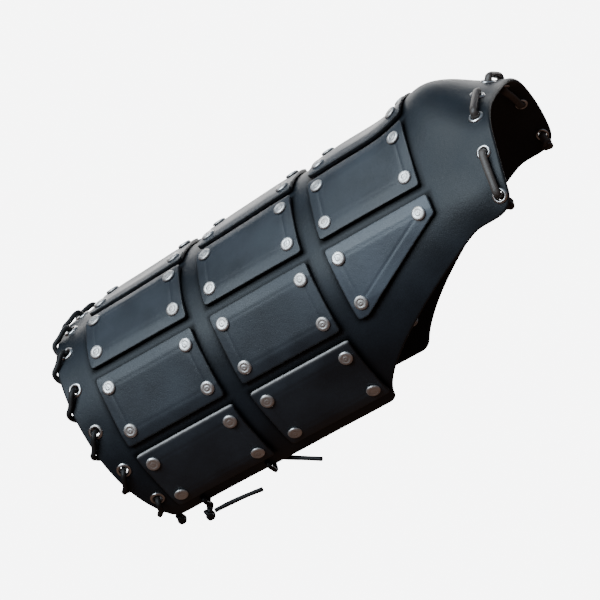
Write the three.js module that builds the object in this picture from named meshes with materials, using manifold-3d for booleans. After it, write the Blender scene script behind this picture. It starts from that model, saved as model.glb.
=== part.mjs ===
// A riveted leather pauldron for the right shoulder and upper arm.
// Millimetres, +Z up, the wearer's front towards -Y and the wearer's body towards +X.
// The origin is the middle of the tongue's laced edge, on the shell's inner face.
//
// The sleeve is a round tube of leather, open underneath. A place on it has three numbers:
// along the arm towards the cuff, around it from the ridge (positive to the front), and the
// lift off the shell's outer face.

import * as THREE from "three";
import { mergeVertices } from "three/addons/utils/BufferGeometryUtils.js";
import Module from "manifold-3d";

const wasm = await Module();
wasm.setup();

// How the arm is held, in degrees
const slope = 27.3; // the sleeve falls towards the cuff
const swing = 15; // the cuff is held back
const roll = 14; // the ridge is turned forwards

// The shell
const sleeveRadius = 87;
const wall = 3;
const halfGirth = 212; // from the ridge to each lower edge
const tongueEnd = -82; // the laced end, at the ridge
const tongueHalf = 126; // from the ridge to the tongue's side
const tongueCorner = 14;
const tongueLean = 6; // the end runs back this much at its corners
const armpitTop = -45; // where the armpit cut leaves the tongue's side
const armpitDepth = 116;
const armpitPower = 1.8;
const cuffEnd = 266;
const cuffRise = 16; // the cuff is cut back this much at its lower corners
const slit = 0.6; // narrow column at the tongue's side
const shellRows = [-82, -74, -66, -58, -50, -42, -34, -25, -11, -3, 6, 18, 36, 60, 110, 190, 266];
const shellColumns = [0, 10, 22, 35, 48, 60, 78, 92, 105, 112, 118, 123, 126, 136, 148, 164, 178, 194];

// The ridge line rises over the shoulder and falls at both ends
const crownWidth = 75;
const crownBase = 2.5;
const shoulderRise = 11;
const shoulderAt = -37;
const shoulderLength = 24;
const tongueFall = 0.62;
const tongueFallAt = -56;
const cuffFall = 0.05;
const cuffFallAt = 30;
const fallSoftness = 8;

// Plates and rivets
const plateLength = 78;
const plateWidth = 50;
const plateThickness = 3.5;
const plateGap = 0.5;
const columnPitch = 57.4;
const ringStart = 15;
const ringPitch = 92.5;
const rivetAlong = 62.5; // between a plate's rivets
const rivetAcross = 31;
const rivetSides = 5; // facets round a rivet and its hole
const headRadius = 5;
const headHeight = 2.6;
const shankRadius = 1.9;
const shankHole = 2.4;
const burrRadius = 4;
const tipWidth = 13.6; // the blunt tip of a triangular plate
const tipReach = 41;
const hypotenuseEnd = 31.3; // where its long side meets its lower corner

// Eyelets
const eyeletInset = 9; // from the leather's edge
const eyeletHole = 2.8;
const barrelRadius = 3.3;
const barrelHole = 3.65;
const flangeRadius = 5;
const tongueEyelets = [20, 52, 83, 114];
const cuffEyelets = 13;
const cuffPitch = 32;
const cuffShift = -8; // the row sits a little to the back

// Laces
const laceRadius = 1.75;
const laceSides = 8;
const laceOut = 4.1; // centre line outside the shell
const laceIn = -7.4; // centre line inside it
const laceKnotRadius = 3.6;
const cornerKnotRadius = 4; // where the cuff lace ends, at the front lower corner
const tieRadius = 1.5;
const tieHoleInset = 7;
const tieHole = 2.3;
const tieKnotRadius = 4.5;
const tieInside = [49, -151]; // y and z of the lace just inside the front edge
// Each tie crosses at `along`; its knot and the tip of its free end are x, y, z in the sleeve's axes
const ties = {
  cuff: { along: 225, knot: [229, 57, -161], tip: [187, 57, -161], droop: 2.5 },
  armpit: { along: 172, knot: [172, 48.5, -149], tip: [139, 58, -164], droop: 0.5 },
};
const endSteps = 14;
const touch = 0.3; // gap between touching pieces

const leather = new THREE.MeshStandardMaterial({ color: 0x2a3038, roughness: 0.45, metalness: 0 });
const plateLeather = new THREE.MeshStandardMaterial({ color: 0x313842, roughness: 0.4, metalness: 0 });
const laceLeather = new THREE.MeshStandardMaterial({ color: 0x1d1916, roughness: 0.6, metalness: 0 });
const nickel = new THREE.MeshStandardMaterial({ color: 0xb9bcbd, roughness: 0.3, metalness: 1 });

// Zero below `x = 0` and x above it, with a soft corner
function ramp(x) {
  return (x + Math.hypot(x, fallSoftness)) / 2;
}

function crown(along) {
  const rise = shoulderRise * Math.exp(-(((along - shoulderAt) / shoulderLength) ** 2));
  return crownBase + rise - tongueFall * ramp(tongueFallAt - along) - cuffFall * ramp(along - cuffFallAt);
}

function onSleeve(along, around, lift = 0) {
  const angle = around / sleeveRadius;
  const radius = sleeveRadius + lift;
  const share = Math.max(0, 1 - (around / crownWidth) ** 2) ** 2;
  const height = radius * Math.cos(angle) - sleeveRadius + crown(along) * share;
  return new THREE.Vector3(along, radius * Math.sin(angle), height);
}

// A frame standing on the sleeve: x along it, y around it, z straight out of the leather
function standing(along, around) {
  const x = onSleeve(along + 1, around).sub(onSleeve(along - 1, around)).normalize();
  const y = onSleeve(along, around + 1).sub(onSleeve(along, around - 1));
  const z = new THREE.Vector3().crossVectors(x, y).normalize();
  y.crossVectors(z, x);
  return new THREE.Matrix4().makeBasis(x, y, z).setPosition(onSleeve(along, around));
}

// The shoulder side of the shell: the tongue's end, its round corner, then the armpit cut
function shoulderEdge(around) {
  const distance = Math.abs(around);
  const cornerStart = tongueHalf - tongueCorner;
  if (distance <= cornerStart) {
    return tongueEnd + tongueLean * (distance / cornerStart) ** 4;
  }
  if (distance <= tongueHalf) {
    const turn = (distance - cornerStart) / tongueCorner;
    return tongueEnd + tongueLean + tongueCorner * (1 - Math.sqrt(1 - turn ** 2));
  }
  const share = Math.min(1, (distance - tongueHalf) / (halfGirth - tongueHalf));
  return armpitTop + armpitDepth * (1 - (1 - share) ** armpitPower);
}

function cuffEdge(around) {
  return cuffEnd - cuffRise * (Math.abs(around) / halfGirth) ** 4;
}

// Vertices and triangles as a geometry
function toGeometry(vertices, triangles) {
  const geometry = new THREE.BufferGeometry();
  geometry.setAttribute("position", new THREE.Float32BufferAttribute(vertices, 3));
  geometry.setIndex(Array.from(triangles));
  geometry.computeVertexNormals();
  return geometry;
}

function toSolid(geometry) {
  const bare = geometry.clone();
  bare.deleteAttribute("normal");
  bare.deleteAttribute("uv");
  const merged = mergeVertices(bare, 1e-4);
  const index = merged.index.array;
  const triangles = [];
  for (let i = 0; i < index.length; i += 3) {
    const [a, b, c] = [index[i], index[i + 1], index[i + 2]];
    if (a !== b && b !== c && c !== a) {
      triangles.push(a, b, c);
    }
  }
  const vertProperties = merged.attributes.position.array;
  const triVerts = Uint32Array.from(triangles);
  return new wasm.Manifold(new wasm.Mesh({ numProp: 3, vertProperties, triVerts }));
}

function fromSolid(solid) {
  const mesh = solid.getMesh();
  return toGeometry(Array.from(mesh.vertProperties), mesh.triVerts);
}

// A closed sheet on the sleeve: `arounds` are its columns, start and end the limits of each along the
// sleeve, `shares` the rows between them, and inner and outer the lifts of its two faces
function leatherSheet({ arounds, start, end, shares, inner, outer }) {
  const vertices = [];
  for (const lift of [inner, outer]) {
    for (const around of arounds) {
      for (const share of shares) {
        const along = THREE.MathUtils.lerp(start(around), end(around), share);
        vertices.push(...onSleeve(along, around, lift).toArray());
      }
    }
  }
  const lastColumn = arounds.length - 1;
  const lastRow = shares.length - 1;
  const at = (face, column, row) => (face * arounds.length + column) * shares.length + row;
  const triangles = [];
  const quad = (a, b, c, d) => triangles.push(a, b, c, a, c, d);
  for (let c = 0; c < lastColumn; c++) {
    for (let r = 0; r < lastRow; r++) {
      quad(at(1, c, r), at(1, c, r + 1), at(1, c + 1, r + 1), at(1, c + 1, r));
      quad(at(0, c, r), at(0, c + 1, r), at(0, c + 1, r + 1), at(0, c, r + 1));
    }
    quad(at(0, c, 0), at(1, c, 0), at(1, c + 1, 0), at(0, c + 1, 0));
    quad(at(0, c + 1, lastRow), at(1, c + 1, lastRow), at(1, c, lastRow), at(0, c, lastRow));
  }
  for (let r = 0; r < lastRow; r++) {
    quad(at(0, 0, r), at(0, 0, r + 1), at(1, 0, r + 1), at(1, 0, r));
    quad(at(0, lastColumn, r + 1), at(0, lastColumn, r), at(1, lastColumn, r), at(1, lastColumn, r + 1));
  }
  return toGeometry(vertices, triangles);
}

// A turned shape standing on the sleeve, from a profile of [radius, height] points
function turned(profile, sides, along, around) {
  const points = profile.map(([radius, height]) => new THREE.Vector2(radius, height));
  const geometry = new THREE.LatheGeometry(points, sides);
  geometry.rotateX(Math.PI / 2);
  geometry.applyMatrix4(standing(along, around));
  return geometry;
}

function punch(radius, sides, along, around) {
  const profile = [[0, -3 * wall], [radius, -3 * wall], [radius, 2 * wall], [0, 2 * wall]];
  return toSolid(turned(profile, sides, along, around));
}

// A route whose rings stand at even steps of its parameter, so that each lands on a given point
class Route extends THREE.CatmullRomCurve3 {
  getPointAt(t, target) {
    return this.getPoint(t, target);
  }

  getTangentAt(t, target) {
    return this.getTangent(t, target);
  }
}

function laceAlong(points, radius) {
  const section = new THREE.Shape();
  for (let i = 0; i < laceSides; i++) {
    const angle = ((i + 0.5) / laceSides) * 2 * Math.PI;
    const [x, y] = [radius * Math.cos(angle), radius * Math.sin(angle)];
    if (i === 0) {
      section.moveTo(x, y);
    } else {
      section.lineTo(x, y);
    }
  }
  section.closePath();
  const steps = points.length - 1;
  return new THREE.ExtrudeGeometry(section, { steps, curveSegments: 1, extrudePath: new Route(points) });
}

function knotAt(centre, radius) {
  const geometry = new THREE.SphereGeometry(radius, 8, 6);
  geometry.translate(centre.x, centre.y, centre.z);
  return geometry;
}

function joined(...geometries) {
  return fromSolid(wasm.Manifold.union(geometries.map(toSolid)));
}

// ---- the list of plates: each has its column, ring and rivets ----

const columnNames = { 0: "ridge", 1: "top", 2: "mid", 3: "low" };
const plates = [];
for (let ring = 0; ring < 3; ring++) {
  for (let column = -3; column <= 3; column++) {
    const place = Math.abs(column);
    if (ring === 0 && place === 3) {
      continue; // the armpit cut leaves no room for low plates here
    }
    const side = column === 0 ? "" : column > 0 ? "front_" : "back_";
    const name = `plate_${side}${columnNames[place]}_${ring + 1}`;
    const triangular = ring === 0 && place === 2;
    const along = ringStart + ringPitch * ring;
    const around = columnPitch * column;
    const rivets = [];
    for (const across of [-1, 1]) {
      for (const end of [-1, 1]) {
        const cutAway = triangular && end < 0 && across * column > 0;
        if (!cutAway) {
          rivets.push([along + (end * rivetAlong) / 2, around + (across * rivetAcross) / 2]);
        }
      }
    }
    plates.push({ name, ring, column, along, around, triangular, rivets });
  }
}

function rivet(along, around) {
  const seat = plateGap + plateThickness;
  const burrTop = -wall - 3 * touch;
  const profile = [
    [0, burrTop - 1.2],
    [burrRadius, burrTop],
    [shankRadius, burrTop],
    [shankRadius, seat - 1],
    [headRadius, seat - 0.1],
    [headRadius * 0.7, seat + headHeight * 0.8],
    [0, seat + headHeight],
  ];
  return turned(profile, rivetSides, along, around);
}

function plateWithRivets({ ring, column, along, around, triangular, rivets }) {
  const half = plateWidth / 2;
  const rows = ring === 0 && !triangular ? 6 : 1;
  const shares = Array.from({ length: rows + 1 }, (_, i) => i / rows);
  const outward = Math.sign(column) || 1;
  // How far a point is from the plate's middle line, towards its lower edge
  const lower = (v) => (v - around) * outward;
  const tipSide = -half + tipWidth;
  const longSide = (v) => {
    const share = Math.max(0, (lower(v) - tipSide) / (half - tipSide));
    return along - tipReach + (tipReach + hypotenuseEnd) * share;
  };
  const columns = triangular ? [-half, tipSide, 0, 9, half] : [-half, -9, 0, 9, half];
  const sheet = leatherSheet({
    arounds: columns.map((offset) => around + offset * outward).sort((a, b) => a - b),
    start: triangular ? longSide : () => along - plateLength / 2,
    end: () => along + plateLength / 2,
    shares,
    inner: plateGap,
    outer: plateGap + plateThickness,
  });
  return joined(sheet, ...rivets.map(([u, v]) => rivet(u, v)));
}

function eyelet(along, around) {
  const profile = [
    [eyeletHole, -wall - 1.4],
    [barrelRadius + 1.1, -wall - 1.4],
    [barrelRadius, -wall - 2.5 * touch],
    [barrelRadius, touch + 0.1],
    [flangeRadius, touch + 0.1],
    [eyeletHole, 1.3],
    [eyeletHole, -wall - 1.4],
  ];
  return turned(profile, 8, along, around);
}

// ---- places of eyelets and tie holes ----

const tongueHoles = [];
for (const distance of tongueEyelets) {
  for (const side of [1, -1]) {
    const around = side * distance;
    tongueHoles.push({ side, around, along: shoulderEdge(Math.min(distance, 100)) + eyeletInset });
  }
}
tongueHoles.sort((a, b) => a.around - b.around);

const cuffHoles = [];
for (let i = 0; i < cuffEyelets; i++) {
  const around = (i - (cuffEyelets - 1) / 2) * cuffPitch + cuffShift;
  cuffHoles.push({ around, along: cuffEdge(around) - eyeletInset });
}

// ---- the shell ----

function shell() {
  const half = [...shellColumns, halfGirth];
  half.splice(half.indexOf(tongueHalf) + 1, 0, tongueHalf + slit);
  const arounds = [...half.slice(1).reverse().map((v) => -v), ...half];
  const length = shellRows.at(-1) - shellRows[0];
  const shares = shellRows.map((along) => (along - shellRows[0]) / length);
  const sheet = leatherSheet({
    arounds,
    start: shoulderEdge,
    end: cuffEdge,
    shares,
    inner: -wall,
    outer: 0,
  });
  const holes = [];
  for (const plate of plates) {
    holes.push(...plate.rivets.map(([u, v]) => punch(shankHole, rivetSides, u, v)));
  }
  for (const { along, around } of [...tongueHoles, ...cuffHoles]) {
    holes.push(punch(barrelHole, 8, along, around));
  }
  for (const { along } of Object.values(ties)) {
    for (const side of [1, -1]) {
      holes.push(punch(tieHole, 6, along, side * (halfGirth - tieHoleInset)));
    }
  }
  return fromSolid(toSolid(sheet).subtract(wasm.Manifold.union(holes)));
}

// ---- laces ----

// Running stitch through the tongue: inside, out through one eyelet, in through the next
function tongueLace() {
  const points = [];
  const pass = ({ along, around }, outwards) => {
    const steps = [[-2.6, laceIn + 0.3], [-0.5, -5.2], [0.5, 1.9], [2.6, laceOut - 0.2]];
    const ordered = outwards ? steps : steps.map(([shift, lift]) => [-shift, lift]).reverse();
    for (const [shift, lift] of ordered) {
      points.push(onNormal(along, around + shift, lift));
    }
  };
  tongueHoles.forEach((hole, i) => {
    pass(hole, i % 2 === 0);
    if (i < tongueHoles.length - 1) {
      const next = tongueHoles[i + 1];
      const lift = i % 2 === 0 ? laceOut : laceIn;
      for (const share of [1 / 3, 2 / 3]) {
        const around = THREE.MathUtils.lerp(hole.around, next.around, share);
        points.push(onNormal(THREE.MathUtils.lerp(hole.along, next.along, share), around, lift));
      }
    }
  });
  const first = tongueHoles[0];
  const last = tongueHoles.at(-1);
  const start = onNormal(first.along, first.around - 7, laceIn - 0.6);
  const finish = onNormal(last.along, last.around + 7, laceIn - 0.6);
  points.unshift(start);
  points.push(finish);
  const knots = [start, finish].map((centre) => knotAt(centre, laceKnotRadius));
  return joined(laceAlong(points, laceRadius), ...knots);
}

// A point straight out of the leather above or below a place on it
function onNormal(along, around, lift) {
  return new THREE.Vector3(0, 0, lift).applyMatrix4(standing(along, around));
}

// Whipping: out through an eyelet, over the edge, back inside to the next eyelet
function cuffLace() {
  const turn = [
    [-eyeletInset + 0.8, -2.6, laceIn + 0.3],
    [-eyeletInset + 0.1, -0.5, -5.2],
    [-eyeletInset + 0.2, 0.3, 1.9],
    [-eyeletInset + 1.8, 3.2, laceOut],
    [-2.4, 9.8, 2.9],
    [2.4, 13.6, 1.1],
    [2.6, 16.4, -3.8],
    [-1.4, 20.5, -6.5],
  ];
  const first = cuffHoles[0];
  const start = onSleeve(first.along + 1, first.around - 8, laceIn - 0.6);
  const points = [start];
  for (const { around } of cuffHoles) {
    for (const [outwards, shift, lift] of turn) {
      points.push(onNormal(cuffEdge(around + shift) + outwards, around + shift, lift));
    }
  }
  const corner = cuffEdge(halfGirth);
  const finish = onSleeve(corner + 0.5, halfGirth + 5, -1.5);
  points.push(onSleeve(corner, halfGirth + 0.5, -6));
  points.push(finish);
  const lace = laceAlong(points, laceRadius);
  return joined(lace, knotAt(start, laceKnotRadius), knotAt(finish, cornerKnotRadius));
}

// A lace tied across the open underside: from the knot in through the front hole, across to the
// back hole, out, round the back edge, across again and out past the front edge to the knot
function tieAcross(tie) {
  const hole = halfGirth - tieHoleInset;
  const knot = new THREE.Vector3(...tie.knot);
  const half = [
    [halfGirth + 3, 1.6],
    [halfGirth - 1, 2.4],
    [hole + 1.2, 2.4],
    [hole + 0.2, 0.8],
    [hole, -3.6],
    [hole + 0.8, -5.4],
  ];
  const front = half.map(([v, lift]) => onSleeve(tie.along, v, lift));
  const back = half.map(([v, lift]) => onSleeve(tie.along, -v, lift)).reverse();
  const across = [1 / 3, 2 / 3].map((share) => front.at(-1).clone().lerp(back[0], share));
  across.forEach((point) => (point.z -= 1));
  const under = onSleeve(tie.along, -halfGirth - 5, -wall / 2);
  const inside = new THREE.Vector3(tie.along, ...tieInside);
  const again = [1 / 3, 2 / 3].map((share) => under.clone().lerp(inside, share));
  const loop = [knot, ...front, ...across, ...back, under, ...again, inside, knot];
  return joined(laceAlong(loop, tieRadius), knotAt(knot, tieKnotRadius));
}

// The free end of a tie leaves the knot and droops a little towards its tip
function tieEnd(tie) {
  const knot = new THREE.Vector3(...tie.knot);
  const tip = new THREE.Vector3(...tie.tip);
  const start = knot.clone().lerp(tip, (tieKnotRadius + touch) / knot.distanceTo(tip));
  const points = [];
  for (let i = 0; i <= endSteps; i++) {
    const share = i / endSteps;
    const point = start.clone().lerp(tip, share);
    point.z -= tie.droop * share ** 2;
    points.push(point);
  }
  return laceAlong(points, tieRadius);
}

// ---- the sleeve, turned to the way the arm is held ----

const pauldron = new THREE.Group();
const sleeve = new THREE.Group();
pauldron.add(sleeve);
const degrees = THREE.MathUtils.degToRad;
sleeve.rotation.set(degrees(-roll), degrees(-slope), degrees(180 - swing), "YZX");
const lacing = onSleeve(tongueEnd + eyeletInset, 0, -wall);
sleeve.position.copy(lacing).applyEuler(sleeve.rotation).negate();

function add(group, name, geometry, material) {
  const mesh = new THREE.Mesh(geometry, material);
  mesh.name = name;
  group.add(mesh);
}

add(sleeve, "shell", shell(), leather);
for (const plate of plates) {
  add(sleeve, plate.name, plateWithRivets(plate), plateLeather);
}
tongueHoles.forEach(({ along, around }, i) => {
  add(sleeve, `tongue_eyelet_${i + 1}`, eyelet(along, around), nickel);
});
cuffHoles.forEach(({ along, around }, i) => {
  add(sleeve, `cuff_eyelet_${i + 1}`, eyelet(along, around), nickel);
});
add(sleeve, "tongue_lace", tongueLace(), laceLeather);
add(sleeve, "cuff_lace", cuffLace(), laceLeather);
for (const [name, tie] of Object.entries(ties)) {
  add(sleeve, `tie_${name}`, tieAcross(tie), laceLeather);
  add(sleeve, `tie_${name}_end`, tieEnd(tie), laceLeather);
}

export default pauldron;
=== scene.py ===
import math

import bpy
import numpy as np
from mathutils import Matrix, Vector


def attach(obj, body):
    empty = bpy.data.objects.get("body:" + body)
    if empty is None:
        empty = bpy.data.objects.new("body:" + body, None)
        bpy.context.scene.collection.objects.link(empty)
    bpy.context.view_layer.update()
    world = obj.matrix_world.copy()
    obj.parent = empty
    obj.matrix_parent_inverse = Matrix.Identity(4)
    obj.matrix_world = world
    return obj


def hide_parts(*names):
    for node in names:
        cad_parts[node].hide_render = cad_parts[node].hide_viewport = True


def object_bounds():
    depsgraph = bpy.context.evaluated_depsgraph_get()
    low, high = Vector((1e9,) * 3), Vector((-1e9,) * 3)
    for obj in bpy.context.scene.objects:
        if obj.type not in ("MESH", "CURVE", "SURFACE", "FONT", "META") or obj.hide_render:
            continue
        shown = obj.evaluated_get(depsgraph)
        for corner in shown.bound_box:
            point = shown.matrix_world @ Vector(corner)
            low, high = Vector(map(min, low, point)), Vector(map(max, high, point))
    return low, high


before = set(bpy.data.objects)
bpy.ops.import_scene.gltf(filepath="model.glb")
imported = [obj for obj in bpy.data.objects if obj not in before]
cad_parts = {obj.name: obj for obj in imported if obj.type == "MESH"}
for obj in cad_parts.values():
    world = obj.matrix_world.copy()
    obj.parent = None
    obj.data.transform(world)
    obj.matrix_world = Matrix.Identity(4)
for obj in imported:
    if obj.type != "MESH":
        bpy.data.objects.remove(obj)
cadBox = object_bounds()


def started(name):
    # a new material, its tree, its shader and the piece's own coordinates
    material = bpy.data.materials.new(name)
    material.use_nodes = True
    tree = material.node_tree
    place = tree.nodes.new("ShaderNodeTexCoord").outputs["Object"]
    return material, tree, tree.nodes["Principled BSDF"], place


def linked(name, data):
    # a new object in the scene
    thing = bpy.data.objects.new(name, data)
    bpy.context.collection.objects.link(thing)
    return thing


def unit(v):
    # the same direction, one long
    return v / np.linalg.norm(v, axis=-1, keepdims=True)


def bell(distance, width):
    # one at no distance, falling as exp of minus the square of distance over width
    return np.exp(-((distance / width) ** 2))


def noted(shader, values):
    # sets each named input of the shader
    for name, value in values.items():
        shader.inputs[name].default_value = value


def texture(tree, kind, place, scale, detail=3.0):
    # a noise or a cell pattern of the given scale
    node = tree.nodes.new("ShaderNodeTex" + kind)
    node.inputs["Scale"].default_value = scale
    if "Detail" in node.inputs:
        node.inputs["Detail"].default_value = detail
    tree.links.new(place, node.inputs["Vector"])
    return node


def field(tree, name):
    # a value that makePiece stored at each point
    node = tree.nodes.new("ShaderNodeAttribute")
    node.attribute_name = name
    return node.outputs["Fac"]


def spread(tree, value, low, high, fromLow=0.0, fromHigh=1.0):
    # a straight line from low at fromLow to high at fromHigh
    node = tree.nodes.new("ShaderNodeMapRange")
    node.inputs["From Min"].default_value = fromLow
    node.inputs["From Max"].default_value = fromHigh
    node.inputs["To Min"].default_value = low
    node.inputs["To Max"].default_value = high
    tree.links.new(value, node.inputs["Value"])
    return node.outputs[0]


def blended(tree, share, first, second):
    # the first colour at share 0, the second at share 1
    node = tree.nodes.new("ShaderNodeMix")
    node.data_type = "RGBA"
    tree.links.new(share, node.inputs["Factor"])
    for value, socket in ((first, node.inputs["A"]), (second, node.inputs["B"])):
        if isinstance(value, tuple):
            socket.default_value = (*value, 1)
        else:
            tree.links.new(value, socket)
    return node.outputs["Result"]


def summed(tree, first, second, kind="ADD"):
    # the sum of two values, or their product
    node = tree.nodes.new("ShaderNodeMath")
    node.operation = kind
    tree.links.new(first, node.inputs[0])
    tree.links.new(second, node.inputs[1])
    return node.outputs[0]


def raised(tree, shader, height, relief, distance):
    # relief too fine for the mesh
    bump = tree.nodes.new("ShaderNodeBump")
    bump.inputs["Strength"].default_value = relief
    bump.inputs["Distance"].default_value = distance
    tree.links.new(height, bump.inputs["Height"])
    tree.links.new(bump.outputs[0], shader.inputs["Normal"])


print("stage: camera, floor and light")

# The camera stands level with the wearer's chest, a few steps in front
viewpoint = {
    "place": (0.1696, -2.4835, -0.2626),
    "spread": 0.405,  # width of the view at the pauldron, in metres
    "sensor": 36,
    "reach": (0.05, 60),  # nearest and farthest distance that is drawn
}
studio = {
    "floorDepth": 0.30,  # under the lowest point
    "floorRadius": 5.0,
    "floorSides": 96,
    "floorTone": 0.82,
    "floorRoughness": 0.9,
    "floorGlow": 2.0,
    "background": (7.0, 7.05, 7.1),
    "above": (0.34, 0.42, 0.52),  # what the room gives from above and below
    "below": (0.20, 0.125, 0.095),
    "change": (0.0, 0.75),  # one gives way to the other between these heights, 1 being overhead
    "roomStrength": 0.5,
    "lamps": {
        # name: place, width, height, power in watts, colour
        "key": ((-0.95, -0.85, 1.25), 0.8, 0.6, 20, (0.80, 0.92, 1.0)),
        "side": ((-1.4, -1.6, 0.42), 1.5, 0.7, 37, (0.76, 0.90, 1.0)),
        "wall": ((-0.3, 1.9, 0.75), 2.2, 1.4, 34, (1.0, 0.99, 0.97)),
    },
}
lowCorner, highCorner = cadBox
middle = (lowCorner + highCorner) / 2


def aimed(thing, place, target):
    # stands at the place and looks at the target
    thing.location = place
    thing.rotation_euler = (Vector(target) - Vector(place)).to_track_quat("-Z", "Y").to_euler()


def makeCamera():
    # focal length: sensor width times distance over the width of the view
    data = bpy.data.cameras.new("camera")
    camera = linked("camera", data)
    aimed(camera, viewpoint["place"], middle)
    distance = (middle - Vector(viewpoint["place"])).length
    data.sensor_width = viewpoint["sensor"]
    data.lens = data.sensor_width * distance / viewpoint["spread"]
    data.clip_start, data.clip_end = viewpoint["reach"]
    bpy.context.scene.camera = camera


def makeRoom():
    # the camera sees the pale background; the leather is lit by a room that is bluer overhead
    world = bpy.data.worlds.new("room")
    bpy.context.scene.world = world
    world.use_nodes = True
    tree = world.node_tree
    tree.nodes.clear()
    direction, split, lit, seen, rays, either, out = (tree.nodes.new("ShaderNode" + kind) for kind in (
        "TexCoord", "SeparateXYZ", "Background", "Background", "LightPath", "MixShader", "OutputWorld"))
    tree.links.new(direction.outputs["Generated"], split.inputs[0])
    height = spread(tree, split.outputs["Z"], 0, 1, *studio["change"])
    tree.links.new(blended(tree, height, studio["below"], studio["above"]), lit.inputs["Color"])
    lit.inputs["Strength"].default_value = studio["roomStrength"]
    seen.inputs["Color"].default_value = (*studio["background"], 1)
    for source, socket in (
        (rays.outputs["Is Camera Ray"], either.inputs[0]),
        (lit.outputs[0], either.inputs[1]),
        (seen.outputs[0], either.inputs[2]),
        (either.outputs[0], out.inputs[0]),
    ):
        tree.links.new(source, socket)


def makeLamps():
    # rectangles of light, all aimed at the middle of the pauldron
    for name, (place, width, height, power, colour) in studio["lamps"].items():
        data = bpy.data.lights.new(name, "AREA")
        data.shape = "RECTANGLE"
        data.size, data.size_y, data.energy, data.color = width, height, power, colour
        lamp = linked(name, data)
        aimed(lamp, place, middle)


def makeFloor():
    # a flat disc: points a fixed distance from its middle, evenly round it
    sides = studio["floorSides"]
    angle = np.linspace(0, 2 * math.pi, sides, endpoint=False)
    rim = np.stack([np.cos(angle), np.sin(angle), np.zeros(sides)], 1) * studio["floorRadius"]
    rim += (middle.x, middle.y, lowCorner.z - studio["floorDepth"])
    mesh = bpy.data.meshes.new("floor")
    mesh.from_pydata(rim.tolist(), [], [list(range(sides))])
    floor = linked("floor", mesh)
    paint = bpy.data.materials.new("palePaint")
    paint.use_nodes = True
    shader = paint.node_tree.nodes["Principled BSDF"]
    noted(shader, {
        "Base Color": (*[studio["floorTone"]] * 3, 1),
        "Roughness": studio["floorRoughness"],
        "Emission Color": (1, 1, 1, 1),
        "Emission Strength": studio["floorGlow"],
    })
    mesh.materials.append(paint)
    # it doesn't light the pauldron from below
    floor.visible_diffuse = floor.visible_glossy = False


makeCamera()
makeRoom()
makeLamps()
makeFloor()

# The same numbers as the solid parts have, in millimetres and degrees
sleeve = {
    "slope": 27.3,
    "swing": 15,
    "roll": 14,
    "radius": 87,
    "wall": 3,
    "halfGirth": 212,
    "tongueEnd": -82,
    "tongueHalf": 126,
    "tongueCorner": 14,
    "tongueLean": 6,
    "armpitTop": -45,
    "armpitDepth": 116,
    "armpitPower": 1.8,
    "cuffEnd": 266,
    "cuffRise": 16,
    "eyeletInset": 9,
}
ridge = {
    "width": 75,
    "base": 2.5,
    "shoulderRise": 11,
    "shoulderAt": -37,
    "shoulderLength": 24,
    "tongueFall": 0.62,
    "tongueFallAt": -56,
    "cuffFall": 0.05,
    "cuffFallAt": 30,
    "softness": 8,
}
ripples = {
    # height, wave along, wave around in millimetres, lag in radians
    "slow": (0.42, 47, 61, 0.4),
    "cross": (0.30, 83, 29, 2.1),
    "small": (0.10, 13, 17, 1.0),
}
# the soft swelling beside the tongue's front corner
bulge = {"along": -53, "around": 108, "height": 1.5, "radius": 18}
waveSwerve = 1.4  # how far the waves along the sleeve swerve on their way round it


def turning(axis, degrees):
    # the matrix of a turn about one axis
    c, s = math.cos(math.radians(degrees)), math.sin(math.radians(degrees))
    return np.array({
        "x": [[1, 0, 0], [0, c, -s], [0, s, c]],
        "y": [[c, 0, s], [0, 1, 0], [-s, 0, c]],
        "z": [[c, -s, 0], [s, c, 0], [0, 0, 1]],
    }[axis])


def ramp(x):
    # nought below x = 0 and x above it, with a soft corner
    return (x + np.hypot(x, ridge["softness"])) / 2


def crownLine(along):
    # a bell over the shoulder, less a straight fall at each end
    rise = ridge["shoulderRise"] * bell(along - ridge["shoulderAt"], ridge["shoulderLength"])
    fall = ridge["tongueFall"] * ramp(ridge["tongueFallAt"] - along)
    fall = fall + ridge["cuffFall"] * ramp(along - ridge["cuffFallAt"])
    return ridge["base"] + rise - fall


def onSleeve(along, around, lift=0.0):
    # a circle of the sleeve's radius and lift, raised near the ridge by the crown line
    along, around, lift = np.broadcast_arrays(along, around, lift)
    angle = around / sleeve["radius"]
    share = np.maximum(0, 1 - (around / ridge["width"]) ** 2) ** 2
    height = (sleeve["radius"] + lift) * np.cos(angle) - sleeve["radius"] + crownLine(along) * share
    return np.stack([along, (sleeve["radius"] + lift) * np.sin(angle), height], -1)


def worn(along, around):
    # slow crossing sine waves and one bell: the unevenness of hand-shaped leather
    away = (along - bulge["along"]) ** 2 + (around - bulge["around"]) ** 2
    total = bulge["height"] * np.exp(-away / bulge["radius"] ** 2)
    for height, waveAlong, waveAround, lag in ripples.values():
        swerve = waveSwerve * np.sin(around / waveAround + lag)
        total = total + height * np.sin(along / waveAlong + lag + swerve)
    return total


def standing(along, around):
    # the three directions at a place on the sleeve: along it, round it and straight out
    x = unit(onSleeve(along + 1.0, around) - onSleeve(along - 1.0, around))
    z = unit(np.cross(x, onSleeve(along, around + 1.0) - onSleeve(along, around - 1.0)))
    return x, np.cross(z, x), z


def onNormal(along, around, lift):
    # the place on the sleeve plus the lift times the direction straight out
    along, around, lift = (np.asarray(v, float) for v in (along, around, lift))
    return onSleeve(along, around) + standing(along, around)[2] * lift[..., None]


turn = turning("y", -sleeve["slope"]) @ turning("z", 180 - sleeve["swing"])
turn = turn @ turning("x", -sleeve["roll"])
lacedEdge = onSleeve(sleeve["tongueEnd"] + sleeve["eyeletInset"], 0.0, -sleeve["wall"])


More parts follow.
